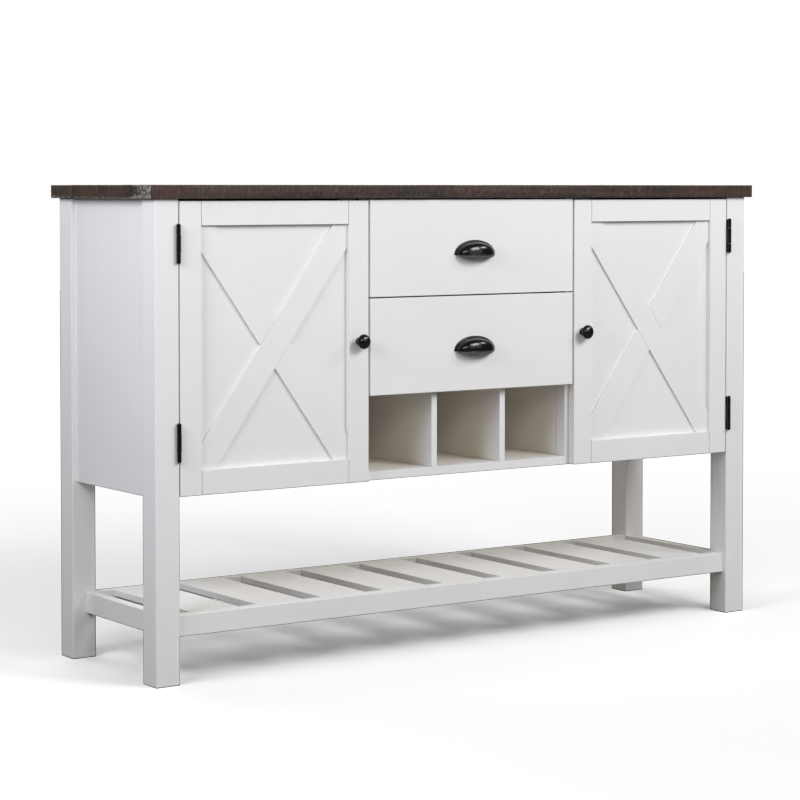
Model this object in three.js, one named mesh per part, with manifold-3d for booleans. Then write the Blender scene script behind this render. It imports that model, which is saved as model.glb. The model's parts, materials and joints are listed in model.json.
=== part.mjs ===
// Sideboard buffet: a thick stained top on four square legs, a painted carcass between the legs
// with two X-braced doors, two drawers and three cubbies, and a slatted shelf near the floor.
// Millimetres. +Z is up, the front faces -Y, and the origin is on the floor under the middle.

import * as THREE from 'three';
import { mergeVertices } from 'three/addons/utils/BufferGeometryUtils.js';
import Module from 'manifold-3d';

const wasm = await Module();
wasm.setup();

// ---- Driving dimensions ----------------------------------------------------------------------

const WIDTH = 1416;
const DEPTH = 390;
const HEIGHT = 889;
const TOP_THICKNESS = 25;
const SIDE_OVERHANG = 13.5;
const FRONT_OVERHANG = 9;
const LEG = 48;
const BEVEL_GAP = 0.3; // left between slanted faces that meet

// Legs: outer and inner faces, measured from the middle of the sideboard.
const LEG_TOP = HEIGHT - TOP_THICKNESS;
const OUTER_X = WIDTH / 2 - SIDE_OVERHANG;
const OUTER_Y = DEPTH / 2 - FRONT_OVERHANG;
const INNER_X = OUTER_X - LEG;
const INNER_Y = OUTER_Y - LEG;
const FACE_Y = -OUTER_Y; // the plane of the legs' fronts, the doors and the drawers

// Carcass boards.
const PANEL_INSET = 9; // side and back panels, in from the legs' outer faces
const SIDE_PANEL = 15;
const SIDE_BOTTOM = 334;
const SIDE_X = OUTER_X - PANEL_INSET - SIDE_PANEL; // inner face of a side panel
const BOTTOM_LOW = 335;
const BOTTOM_HIGH = 351;
const BACK_PANEL = 6;
const BACK_Y = OUTER_Y - PANEL_INSET - BACK_PANEL; // front face of the back panel
const CARCASS_FRONT_Y = FACE_Y + 19; // the front edges of the boards behind the doors
const PARTITION = 12;
const PARTITION_X = 235.5; // the face of a partition that looks at the drawers
const LIPPING_WIDTH = 18;
const LIPPING_DEPTH = 27;
const CEILING_LOW = 497;
const BOARD = 15; // cubby ceiling and cupboard shelves
const DIVIDER = 13;
const DIVIDER_X = 81; // the middle of a cubby divider
const CUPBOARD_SHELF_LOW = 590;
const CUPBOARD_SHELF_FRONT_Y = -137.5;

// Slatted shelf.
const RAIL = 20;
const RAIL_LOW = 85;
const RAIL_HIGH = 123;
const FRONT_RAIL_Y = FACE_Y + 9;
const FRONT_RAIL = 25;
const SLAT_COUNT = 9;
const SLAT_WIDTH = 100;
const SLAT = 12;

// Doors: a frame 18 thick that holds an 8 thick panel in a rebate at its back.
const DOOR_OUTER_X = 645;
const DOOR_INNER_X = 243;
const DOOR_BOTTOM = 336;
const DOOR_TOP = 861;
const DOOR = 18;
const FRAME_BAR = 44.5;
const REBATE = 8;
const DOOR_PANEL = 8;
const DOOR_BACK_Y = FACE_Y + DOOR;
const DOOR_PANEL_Y = DOOR_BACK_Y - DOOR_PANEL; // front face of the panel
const BRACE_WIDTH = 50;
const BRACE = 4;
const KNOB_X = 265;

// Butt hinges: a barrel proud of the face, with its leaves let into the leg and the door edge.
const HINGE_HEIGHT = 72;
const HINGE_UPPER_Z = 784.5;
const HINGE_LOWER_Z = { left: 432, right: 417 };
const HINGE_AXIS_X = 649;
const HINGE_AXIS_Y = FACE_Y - 4.5;
const BARREL_RADIUS = 4;
const PIN_RADIUS = 1.5;
const PIN_HOLE_RADIUS = 1.8;
const BARREL_SIDES = 16;
const MIDDLE_KNUCKLE = 32.4;
const OUTER_KNUCKLE = 19.5;
const LEAF = 1;
const LEAF_DEPTH = 15;
const MORTISE = 0.5;

// Drawers.
const DRAWER_FRONT_X = 240;
const DRAWER_FRONT = 18;
const DRAWERS = {
  upper: { bottom: 679.5, top: 861 },
  lower: { bottom: 495.5, top: 677 },
};
const TRAY_X = 222.5;
const TRAY_RISE = 24.5; // from the bottom edge of the front to the underside of the tray
const TRAY_HEIGHT = 130;
const TRAY_DEPTH = 300;
const TRAY_WALL = 12;
const TRAY_FLOOR = 14;
const SLIDE_HEIGHT = 45;
const SLIDE_DEPTH = 10;
const SLIDE_SHEET = 1.5;
const SLIDE_LENGTH = 300;
const SLIDE_RISE = TRAY_RISE + TRAY_HEIGHT / 2; // the middle of a slide above the front's bottom

// Cup pull: a half ellipsoid dome on a flat flange, open below, with a sagging lip.
const PULL = { halfWidth: 48, crown: 28, sag: 8.5, domeHalfWidth: 44, dome: 24, wall: 2.5, flange: 2 };
const PULL_DROP = 14.5; // its dome's centre below the middle of the drawer front

// ---- Finishes --------------------------------------------------------------------------------

const finish = (color, roughness, metalness = 0) => () =>
  new THREE.MeshStandardMaterial({ color, roughness, metalness });
const whitePaint = finish(0xe6e6e7, 0.45);
const stainedWood = finish(0x46382f, 0.7);
const blackHardware = finish(0x0d0d0d, 0.15, 0.4);
const drawerWood = finish(0xd0b48c, 0.6);
const zincSteel = finish(0xb9bcc0, 0.35, 0.9);

// ---- Shape helpers ---------------------------------------------------------------------------

// A box from its lowest and highest coordinate along each axis.
function boxGeometry([x0, x1], [y0, y1], [z0, z1]) {
  const geometry = new THREE.BoxGeometry(x1 - x0, y1 - y0, z1 - z0);
  return geometry.translate((x0 + x1) / 2, (y0 + y1) / 2, (z0 + z1) / 2);
}

// The span [a, b], given for the right-hand side, on either side of the middle.
const onSide = (side, a, b) => (side > 0 ? [a, b] : [-b, -a]);

// An outline of [x, z] points made into a plate that runs from frontY to backY.
function plateGeometry(points, frontY, backY) {
  const shape = new THREE.Shape(points.map(([x, z]) => new THREE.Vector2(x, z)));
  const geometry = new THREE.ExtrudeGeometry(shape, { depth: backY - frontY, bevelEnabled: false });
  return geometry.rotateX(Math.PI / 2).translate(0, backY, 0);
}

// An outline of [x, y] points made into a board that runs from low to high.
function boardGeometry(points, low, high) {
  const shape = new THREE.Shape(points.map(([x, y]) => new THREE.Vector2(x, y)));
  const geometry = new THREE.ExtrudeGeometry(shape, { depth: high - low, bevelEnabled: false });
  return geometry.translate(0, 0, low);
}

function toSolid(geometry) {
  const bare = geometry.clone();
  bare.deleteAttribute('normal');
  bare.deleteAttribute('uv');
  const merged = mergeVertices(bare);
  const vertProperties = Float32Array.from(merged.attributes.position.array);
  const triVerts = Uint32Array.from(merged.index.array);
  return new wasm.Manifold(new wasm.Mesh({ numProp: 3, vertProperties, triVerts }));
}

function toGeometry(solid) {
  const mesh = solid.getMesh();
  const geometry = new THREE.BufferGeometry();
  geometry.setAttribute('position', new THREE.Float32BufferAttribute(mesh.vertProperties, 3));
  geometry.setIndex(new THREE.Uint32BufferAttribute(mesh.triVerts, 1));
  geometry.computeVertexNormals();
  return geometry;
}

const cut = (geometry, cutters) =>
  toGeometry(cutters.reduce((solid, cutter) => solid.subtract(toSolid(cutter)), toSolid(geometry)));

const join = (...geometries) =>
  toGeometry(geometries.map(toSolid).reduce((whole, piece) => whole.add(piece)));

// ---- Scene graph -----------------------------------------------------------------------------

const sideboard = new THREE.Group();

function addPart(name, geometry, material, parent = sideboard) {
  const mesh = new THREE.Mesh(geometry, material());
  mesh.name = name;
  parent.add(mesh);
  return mesh;
}

const SIDES = [['left', -1], ['right', 1]];

// ---- Top and legs ----------------------------------------------------------------------------

function addTop() {
  const span = (size) => [-size / 2, size / 2];
  addPart('table_top', boxGeometry(span(WIDTH), span(DEPTH), [LEG_TOP, HEIGHT]), stainedWood);
}

// The hinge heights on one side, bottom first.
const hingeHeights = (sideName) => [HINGE_LOWER_Z[sideName], HINGE_UPPER_Z];

// The space that a leaf takes in the wood beside it: in a leg, or in the edge of a door.
function mortiseCutter(side, x0, x1, z) {
  const y = [FACE_Y - 1, FACE_Y + LEAF_DEPTH];
  return boxGeometry(onSide(side, x0, x1), y, [z - HINGE_HEIGHT / 2, z + HINGE_HEIGHT / 2]);
}

function addLegs() {
  for (const [sideName, side] of SIDES) {
    const x = onSide(side, INNER_X, OUTER_X);
    const back = boxGeometry(x, [INNER_Y, OUTER_Y], [0, LEG_TOP]);
    addPart(`leg_back_${sideName}`, back, whitePaint);

    const front = boxGeometry(x, [-OUTER_Y, -INNER_Y], [0, LEG_TOP]);
    const mortises = hingeHeights(sideName).map((z) =>
      mortiseCutter(side, INNER_X - 1, INNER_X + MORTISE, z));
    addPart(`leg_front_${sideName}`, cut(front, mortises), whitePaint);
  }
}

// ---- Carcass ---------------------------------------------------------------------------------

// The bottom fits round the legs: narrow between each pair, wide between the side panels.
function addBottom() {
  const quarter = [
    [INNER_X, CARCASS_FRONT_Y], [INNER_X, -INNER_Y], [SIDE_X, -INNER_Y],
    [SIDE_X, INNER_Y], [INNER_X, INNER_Y], [INNER_X, BACK_Y],
  ];
  const mirrored = quarter.map(([x, y]) => [-x, y]).reverse();
  const geometry = boardGeometry([...quarter, ...mirrored], BOTTOM_LOW, BOTTOM_HIGH);
  addPart('bottom_panel', geometry, whitePaint);
}

// A partition is a board with a wider lipping on its front edge.
function addPartition(sideName, side) {
  const lippingBackY = CARCASS_FRONT_Y + LIPPING_DEPTH;
  const outline = [
    [PARTITION_X, CARCASS_FRONT_Y], [PARTITION_X + LIPPING_WIDTH, CARCASS_FRONT_Y],
    [PARTITION_X + LIPPING_WIDTH, lippingBackY], [PARTITION_X + PARTITION, lippingBackY],
    [PARTITION_X + PARTITION, BACK_Y], [PARTITION_X, BACK_Y],
  ].map(([x, y]) => [side * x, y]);
  addPart(`partition_${sideName}`, boardGeometry(outline, BOTTOM_HIGH, LEG_TOP), whitePaint);
}

function addCarcass() {
  addBottom();
  const backBoard = boxGeometry([-INNER_X, INNER_X], [BACK_Y, BACK_Y + BACK_PANEL], [BOTTOM_LOW, LEG_TOP]);
  addPart('back_panel', backBoard, whitePaint);

  const depth = [CARCASS_FRONT_Y, BACK_Y];
  const ceiling = boxGeometry([-PARTITION_X, PARTITION_X], depth, [CEILING_LOW, CEILING_LOW + BOARD]);
  addPart('cubby_ceiling', ceiling, whitePaint);

  for (const [sideName, side] of SIDES) {
    const panelX = onSide(side, SIDE_X, SIDE_X + SIDE_PANEL);
    const panel = boxGeometry(panelX, [-INNER_Y, INNER_Y], [SIDE_BOTTOM, LEG_TOP]);
    addPart(`side_panel_${sideName}`, panel, whitePaint);
    addPartition(sideName, side);

    const dividerX = onSide(side, DIVIDER_X - DIVIDER / 2, DIVIDER_X + DIVIDER / 2);
    const divider = boxGeometry(dividerX, depth, [BOTTOM_HIGH, CEILING_LOW]);
    addPart(`cubby_divider_${sideName}`, divider, whitePaint);

    const shelfX = onSide(side, PARTITION_X + PARTITION, SIDE_X);
    const shelfZ = [CUPBOARD_SHELF_LOW, CUPBOARD_SHELF_LOW + BOARD];
    const shelf = boxGeometry(shelfX, [CUPBOARD_SHELF_FRONT_Y, INNER_Y - 0.5], shelfZ);
    addPart(`cupboard_shelf_${sideName}`, shelf, whitePaint);
  }
}

// ---- Slatted shelf ---------------------------------------------------------------------------

function addSlattedShelf() {
  const railZ = [RAIL_LOW, RAIL_HIGH];
  const betweenLegs = [-INNER_X, INNER_X];
  const frontRailBackY = FRONT_RAIL_Y + FRONT_RAIL;
  addPart('shelf_rail_front', boxGeometry(betweenLegs, [FRONT_RAIL_Y, frontRailBackY], railZ), whitePaint);
  addPart('shelf_rail_back', boxGeometry(betweenLegs, [INNER_Y, INNER_Y + RAIL], railZ), whitePaint);
  for (const [sideName, side] of SIDES) {
    const x = onSide(side, INNER_X, INNER_X + RAIL);
    addPart(`shelf_rail_${sideName}`, boxGeometry(x, [-INNER_Y, INNER_Y], railZ), whitePaint);
  }

  const gap = (2 * INNER_X - SLAT_COUNT * SLAT_WIDTH) / (SLAT_COUNT + 1);
  for (let i = 0; i < SLAT_COUNT; i += 1) {
    const x = -INNER_X + gap + i * (SLAT_WIDTH + gap);
    const slat = boxGeometry([x, x + SLAT_WIDTH], [frontRailBackY, INNER_Y], [RAIL_HIGH - SLAT, RAIL_HIGH]);
    addPart(`shelf_slat_${i + 1}`, slat, whitePaint);
  }
}

// ---- Hinges ----------------------------------------------------------------------------------

function barrelGeometry(side, radius, z0, z1) {
  const geometry = new THREE.CylinderGeometry(radius, radius, z1 - z0, BARREL_SIDES);
  geometry.rotateX(Math.PI / 2);
  return geometry.translate(side * HINGE_AXIS_X, HINGE_AXIS_Y, (z0 + z1) / 2);
}

// A leaf's plate, and the tongues that carry it forward to its knuckles.
function leafPlates(side, x0, z, knuckles) {
  const x = onSide(side, x0, x0 + LEAF);
  const plate = boxGeometry(x, [FACE_Y, FACE_Y + LEAF_DEPTH], [z - HINGE_HEIGHT / 2, z + HINGE_HEIGHT / 2]);
  const tongues = knuckles.map((knuckle) => boxGeometry(x, [HINGE_AXIS_Y, FACE_Y + 1], knuckle));
  return [plate, ...tongues];
}

// The fixed leaf has the two outer knuckles, and holds the pin.
function addFrameLeaf(name, side, z) {
  const half = HINGE_HEIGHT / 2;
  const knuckles = [[z - half, z - half + OUTER_KNUCKLE], [z + half - OUTER_KNUCKLE, z + half]];
  const plates = leafPlates(side, INNER_X + MORTISE - LEAF, z, knuckles);
  const barrels = knuckles.map(([z0, z1]) => barrelGeometry(side, BARREL_RADIUS, z0, z1));
  const pin = barrelGeometry(side, PIN_RADIUS, z - half + 1, z + half - 1);
  addPart(name, join(...plates, ...barrels, pin), blackHardware);
}

// The moving leaf has the middle knuckle, bored for the pin.
function addDoorLeaf(name, side, z, door) {
  const knuckle = [z - MIDDLE_KNUCKLE / 2, z + MIDDLE_KNUCKLE / 2];
  const plates = leafPlates(side, DOOR_OUTER_X - MORTISE, z, [knuckle]);
  const barrel = barrelGeometry(side, BARREL_RADIUS, ...knuckle);
  const bore = barrelGeometry(side, PIN_HOLE_RADIUS, knuckle[0] - 1, knuckle[1] + 1);
  addPart(name, cut(join(...plates, barrel), [bore]), blackHardware, door);
}

// ---- Doors -----------------------------------------------------------------------------------

// One brace runs corner to corner and the other is in two pieces that meet it, all with ends cut
// to fit the frame's corners. Outlines are about the middle of the panel, for the right-hand door.
function braceOutlines(halfWidth, halfHeight) {
  const angle = Math.atan2(halfHeight, halfWidth);
  const [sin, cos] = [Math.sin(angle), Math.cos(angle)];
  const half = BRACE_WIDTH / 2;
  const alongRail = half / sin;
  const alongStile = half / cos;
  // The point at distance `across` over the short brace and `along` from the long brace's line.
  const meet = (across, along) => [(along - across) / (2 * sin), (across + along) / (2 * cos)];
  const turned = (outline) => outline.map(([x, z]) => [-x, -z]);

  const end = [
    [-halfWidth, halfHeight - alongStile], [-halfWidth, halfHeight], [-halfWidth + alongRail, halfHeight],
  ];
  const long = [...end, ...turned(end)];
  const upper = [
    meet(-half, half + BEVEL_GAP), [halfWidth, halfHeight - alongStile], [halfWidth, halfHeight],
    [halfWidth - alongRail, halfHeight], meet(half, half + BEVEL_GAP),
  ];
  return { long, upper, lower: turned(upper) };
}

// The knob's section from its base on the door to the crown of its head: [radius, height].
function knobGeometry() {
  const section = new THREE.Path();
  section.moveTo(0, 0);
  section.lineTo(7.5, 0);
  section.lineTo(7.5, 1.5);
  section.quadraticCurveTo(5.2, 3.5, 5.4, 7);
  section.quadraticCurveTo(6, 11, 11.5, 13);
  section.quadraticCurveTo(14, 14.2, 14, 16.5);
  section.quadraticCurveTo(13, 23.5, 0, 24.5);
  const points = section.getPoints(4);
  return new THREE.LatheGeometry(points, 24).rotateX(Math.PI);
}

function addDoor(sideName, side) {
  const door = new THREE.Group();
  sideboard.add(door);
  const prefix = `door_${sideName}`;
  const sight = { x: [DOOR_INNER_X + FRAME_BAR, DOOR_OUTER_X - FRAME_BAR],
                  z: [DOOR_BOTTOM + FRAME_BAR, DOOR_TOP - FRAME_BAR] };
  const rebated = { x: [sight.x[0] - REBATE, sight.x[1] + REBATE],
                    z: [sight.z[0] - REBATE, sight.z[1] + REBATE] };

  const slab = boxGeometry(onSide(side, DOOR_INNER_X, DOOR_OUTER_X), [FACE_Y, DOOR_BACK_Y],
    [DOOR_BOTTOM, DOOR_TOP]);
  const opening = boxGeometry(onSide(side, ...sight.x), [FACE_Y - 1, DOOR_BACK_Y + 1], sight.z);
  const rebate = boxGeometry(onSide(side, ...rebated.x), [DOOR_PANEL_Y, DOOR_BACK_Y + 1], rebated.z);
  const mortises = hingeHeights(sideName).map((z) =>
    mortiseCutter(side, DOOR_OUTER_X - MORTISE, DOOR_OUTER_X + 1, z));
  addPart(`${prefix}_frame`, cut(slab, [opening, rebate, ...mortises]), whitePaint, door);

  const panel = boxGeometry(onSide(side, ...rebated.x), [DOOR_PANEL_Y, DOOR_BACK_Y], rebated.z);
  addPart(`${prefix}_panel`, panel, whitePaint, door);

  const middle = { x: side * (sight.x[0] + sight.x[1]) / 2, z: (sight.z[0] + sight.z[1]) / 2 };
  const outlines = braceOutlines((sight.x[1] - sight.x[0]) / 2, (sight.z[1] - sight.z[0]) / 2);
  for (const [pieceName, outline] of Object.entries(outlines)) {
    const placed = outline.map(([x, z]) => [middle.x + side * x, middle.z + z]);
    const brace = plateGeometry(placed, DOOR_PANEL_Y - BRACE, DOOR_PANEL_Y);
    addPart(`${prefix}_brace_${pieceName}`, brace, whitePaint, door);
  }

  const knob = addPart(`${prefix}_knob`, knobGeometry(), blackHardware, door);
  knob.position.set(side * KNOB_X, FACE_Y, (DOOR_BOTTOM + DOOR_TOP) / 2);

  for (const [place, z] of [['lower', HINGE_LOWER_Z[sideName]], ['upper', HINGE_UPPER_Z]]) {
    addFrameLeaf(`hinge_${sideName}_${place}_fixed_leaf`, side, z);
    addDoorLeaf(`hinge_${sideName}_${place}_door_leaf`, side, z, door);
  }
}

// ---- Drawers ---------------------------------------------------------------------------------

// The pull seen from the front: an arch over a shallow sag. Points run anticlockwise.
function pullOutline(halfWidth, crown, sag, steps = 16) {
  const points = [];
  for (let i = 0; i < 2 * steps; i += 1) {
    const angle = (Math.PI * i) / steps;
    points.push([halfWidth * Math.cos(angle), (i < steps ? crown : sag) * Math.sin(angle)]);
  }
  return points;
}

function domeGeometry(halfWidth, reach) {
  return new THREE.SphereGeometry(1, 32, 16).scale(halfWidth, reach, reach);
}

function pullGeometry() {
  const { halfWidth, crown, sag, domeHalfWidth, dome, wall, flange } = PULL;
  const deepOutline = plateGeometry(pullOutline(halfWidth, crown, sag), -dome - 1, 0);
  const shell = toSolid(domeGeometry(domeHalfWidth, dome)).intersect(toSolid(deepOutline));
  const flangePlate = toSolid(plateGeometry(pullOutline(halfWidth, crown, sag), -flange, 0));
  const hollow = toSolid(domeGeometry(domeHalfWidth - wall, dome - wall));
  const below = toSolid(boxGeometry([-domeHalfWidth + wall, domeHalfWidth - wall], [-flange - 1, 1], [-sag - 1, 0]));
  return toGeometry(shell.add(flangePlate).subtract(hollow).subtract(below));
}

function slideGeometry(side, z) {
  const [web, lip] = [PARTITION_X, PARTITION_X - SLIDE_DEPTH];
  const [high, sheet] = [SLIDE_HEIGHT / 2, SLIDE_SHEET];
  const outline = [
    [web, -high], [web, high], [lip, high], [lip, high - sheet], [web - sheet, high - sheet],
    [web - sheet, sheet - high], [lip, sheet - high], [lip, -high],
  ].map(([x, dz]) => [side * x, z + dz]);
  const frontY = CARCASS_FRONT_Y + 2;
  return plateGeometry(outline, frontY, frontY + SLIDE_LENGTH);
}

function addDrawer(name, { bottom, top }) {
  const drawer = new THREE.Group();
  sideboard.add(drawer);
  const backOfFrontY = FACE_Y + DRAWER_FRONT;
  const front = boxGeometry([-DRAWER_FRONT_X, DRAWER_FRONT_X], [FACE_Y, backOfFrontY], [bottom, top]);
  addPart(`drawer_${name}_front`, front, whitePaint, drawer);

  const trayLow = bottom + TRAY_RISE;
  const trayBackY = backOfFrontY + TRAY_DEPTH;
  const block = boxGeometry([-TRAY_X, TRAY_X], [backOfFrontY, trayBackY], [trayLow, trayLow + TRAY_HEIGHT]);
  const hollow = boxGeometry([-TRAY_X + TRAY_WALL, TRAY_X - TRAY_WALL],
    [backOfFrontY + TRAY_WALL, trayBackY - TRAY_WALL], [trayLow + TRAY_FLOOR, trayLow + TRAY_HEIGHT + 1]);
  addPart(`drawer_${name}_tray`, cut(block, [hollow]), drawerWood, drawer);

  const pull = addPart(`drawer_${name}_pull`, pullGeometry(), blackHardware, drawer);
  pull.position.set(0, FACE_Y, (bottom + top) / 2 - PULL_DROP);

  for (const [sideName, side] of SIDES) {
    addPart(`drawer_slide_${name}_${sideName}`, slideGeometry(side, bottom + SLIDE_RISE), zincSteel);
  }
}

// ---- The whole sideboard ---------------------------------------------------------------------

addTop();
addLegs();
addCarcass();
addSlattedShelf();
SIDES.forEach(([sideName, side]) => addDoor(sideName, side));
Object.entries(DRAWERS).forEach(([name, heights]) => addDrawer(name, heights));

export default sideboard;
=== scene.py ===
"""Looks of a sideboard buffet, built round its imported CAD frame. Metres, +Z up, the front faces -Y."""

import json
import math

import bmesh
import bpy
from mathutils import Matrix, Vector, noise


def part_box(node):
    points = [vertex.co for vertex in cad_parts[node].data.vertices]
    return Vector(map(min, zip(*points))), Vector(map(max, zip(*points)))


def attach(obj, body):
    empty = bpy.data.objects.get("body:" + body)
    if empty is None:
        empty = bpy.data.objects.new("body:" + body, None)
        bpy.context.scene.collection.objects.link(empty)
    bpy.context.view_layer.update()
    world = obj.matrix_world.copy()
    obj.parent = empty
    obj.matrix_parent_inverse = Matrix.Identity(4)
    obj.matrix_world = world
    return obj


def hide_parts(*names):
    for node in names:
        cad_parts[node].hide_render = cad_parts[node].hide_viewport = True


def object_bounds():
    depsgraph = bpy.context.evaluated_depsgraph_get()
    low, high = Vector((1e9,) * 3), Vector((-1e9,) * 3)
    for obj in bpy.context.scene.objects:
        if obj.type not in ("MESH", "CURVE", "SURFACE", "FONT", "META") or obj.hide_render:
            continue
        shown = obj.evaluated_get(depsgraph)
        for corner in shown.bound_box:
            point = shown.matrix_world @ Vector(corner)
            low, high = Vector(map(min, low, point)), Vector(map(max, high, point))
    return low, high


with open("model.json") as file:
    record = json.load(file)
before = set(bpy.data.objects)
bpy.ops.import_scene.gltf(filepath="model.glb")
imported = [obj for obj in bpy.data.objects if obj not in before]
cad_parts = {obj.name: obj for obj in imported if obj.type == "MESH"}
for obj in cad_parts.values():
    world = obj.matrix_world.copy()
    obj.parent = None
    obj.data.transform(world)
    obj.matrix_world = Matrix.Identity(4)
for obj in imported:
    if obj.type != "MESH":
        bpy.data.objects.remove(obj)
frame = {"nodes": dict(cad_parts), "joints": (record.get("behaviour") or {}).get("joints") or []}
CAD_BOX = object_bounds()

MM = 0.001
SIDES = (("left", -1), ("right", 1))
DRAWERS = ("upper", "lower")
SCENE = bpy.context.scene


# ---- Materials -------------------------------------------------------------------------------


TOP_LOW, TOP_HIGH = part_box("table_top")
TOP_BOARDS = 4
TOP_BOARD = (TOP_HIGH.y - TOP_LOW.y) / TOP_BOARDS
CARCASS_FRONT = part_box("partition_left")[0].y
CARCASS_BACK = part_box("back_panel")[1].y
PAINTED_SHADE_FROM = (CARCASS_FRONT + 5 * MM, CARCASS_FRONT + 60 * MM)  # painted shade: the inside paint turns warmer and a little darker over this depth
PAINTED_SHADE_TO = (CARCASS_BACK - 2 * MM, CARCASS_BACK - 1 * MM)  # and it ends within the back panel


class Shader:
    """One Principled material, with short calls for the nodes that its textures use."""

    def __init__(self, name, **sockets):
        self.material = bpy.data.materials.new(name)
        self.material.use_nodes = True
        self.tree = self.material.node_tree
        self.bsdf = self.tree.nodes["Principled BSDF"]
        self.feed(self.bsdf, {key.replace("_", " "): value for key, value in sockets.items()})
        self.place = self.add("ShaderNodeTexCoord").outputs["Object"]

    def add(self, kind, inputs=(), **settings):
        node = self.tree.nodes.new(kind)
        for key, value in settings.items():
            setattr(node, key, value)
        self.feed(node, dict(inputs))
        return node

    def feed(self, node, inputs):
        for key, value in inputs.items():
            if isinstance(value, bpy.types.NodeSocket):
                self.tree.links.new(value, node.inputs[key])
            else:
                node.inputs[key].default_value = value

    def stretched(self, x, y, z):
        return self.add("ShaderNodeMapping", {"Vector": self.place, "Scale": (x, y, z)}).outputs[0]

    def noise(self, vector, scale=1.0, detail=2.0, roughness=0.5, distortion=0.0):
        inputs = {"Vector": vector, "Scale": scale, "Detail": detail}
        inputs.update({"Roughness": roughness, "Distortion": distortion})
        return self.add("ShaderNodeTexNoise", inputs).outputs[0]

    def remap(self, value, low, high, to_low=0.0, to_high=1.0):
        inputs = {"Value": value, "From Min": low, "From Max": high}
        inputs.update({"To Min": to_low, "To Max": to_high})
        return self.add("ShaderNodeMapRange", inputs).outputs[0]

    def math(self, operation, a, b=0.0):
        return self.add("ShaderNodeMath", {0: a, 1: b}, operation=operation).outputs[0]

    def ramp(self, value, *stops):
        node = self.add("ShaderNodeValToRGB", {"Fac": value})
        elements = node.color_ramp.elements
        while len(elements) < len(stops):
            elements.new(0.5)
        for element, (position, color) in zip(elements, stops):
            element.position = position
            element.color = (*color, 1.0)
        return node.outputs["Color"]

    def mix(self, factor, a, b):
        node = self.add("ShaderNodeMix", data_type="RGBA")
        self.feed(node, {0: factor, 6: a, 7: b})
        return node.outputs[2]

    def bump(self, height, distance, under=None):
        inputs = {"Height": height, "Distance": distance, "Strength": 1.0}
        if under is not None:
            inputs["Normal"] = under
        return self.add("ShaderNodeBump", inputs).outputs[0]

    def finish(self, **sockets):
        self.feed(self.bsdf, {key.replace("_", " "): value for key, value in sockets.items()})
        return self.material


def white_paint(along, inside=False):
    """Satin white paint; with inside, a painted shade turns it warmer and a little darker with depth. The
    wood's grain shows faintly, and runs along one axis.
    """
    s = Shader(f"{'inside' if inside else 'white'}_paint_along_{along}", Specular_IOR_Level=0.45)
    blotches = s.noise(s.place, 4.0, 3.0)
    tone = s.ramp(blotches, (0.3, (0.795, 0.797, 0.806)), (0.7, (0.83, 0.831, 0.838)))
    # Painted shade: behind the carcass front the colour turns warmer and a little darker, standing in for
    # the shade within the cubbies and cupboards.
    if inside:
        painted_shade_tone = s.ramp(blotches, (0.3, (0.815, 0.77, 0.7)), (0.7, (0.84, 0.8, 0.735)))
        place = s.add("ShaderNodeNewGeometry").outputs["Position"]
        depth = s.add("ShaderNodeSeparateXYZ", {0: place}).outputs[1]
        painted_shade_share = s.math("MULTIPLY", s.remap(depth, *PAINTED_SHADE_FROM), s.remap(depth, *PAINTED_SHADE_TO, 1.0, 0.0))
        tone = s.mix(painted_shade_share, tone, painted_shade_tone)
    grain = s.noise(s.stretched(*(6.0 if axis == along else 130.0 for axis in "xyz")), detail=4.0)
    tone = s.mix(s.remap(grain, 0.35, 0.7, 0.0, 0.035), tone, (0.62, 0.61, 0.6, 1.0))
    peel = s.noise(s.place, 520.0, 1.0)
    normal = s.bump(peel, 0.012 * MM, s.bump(grain, 0.05 * MM))
    rough = s.remap(s.noise(s.place, 23.0, 4.0), 0.3, 0.7, 0.36, 0.5)
    return s.finish(Base_Color=tone, Roughness=rough, Normal=normal)


# Where the stained wood differs between a board's long faces and its sawn ends: the scales of its fibres
# and patches, the patches' colour, the saw marks' lean and scale, and how many show and how pale.
FACE_LOOK = {
    "fibres": (2.2, 70.0, 70.0),
    "patches": 9.0,
    "patch": (0.064, 0.028, 0.022, 1.0),
    "lean": (0.0, -0.3, 0.12),
    "strokes": (400.0, 36.0, 85.0),
    "stroke_from": 0.54,
    "stroke": (0.15, 0.122, 0.106, 1.0),
}
END_LOOK = {
    "fibres": (90.0, 240.0, 70.0),
    "patches": 15.0,
    "patch": (0.056, 0.022, 0.013, 1.0),
    "lean": (0.0, 0.0, 0.0),
    "strokes": (30.0, 330.0, 45.0),
    "stroke_from": 0.61,
    "stroke": (0.26, 0.23, 0.2, 1.0),
}


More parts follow.
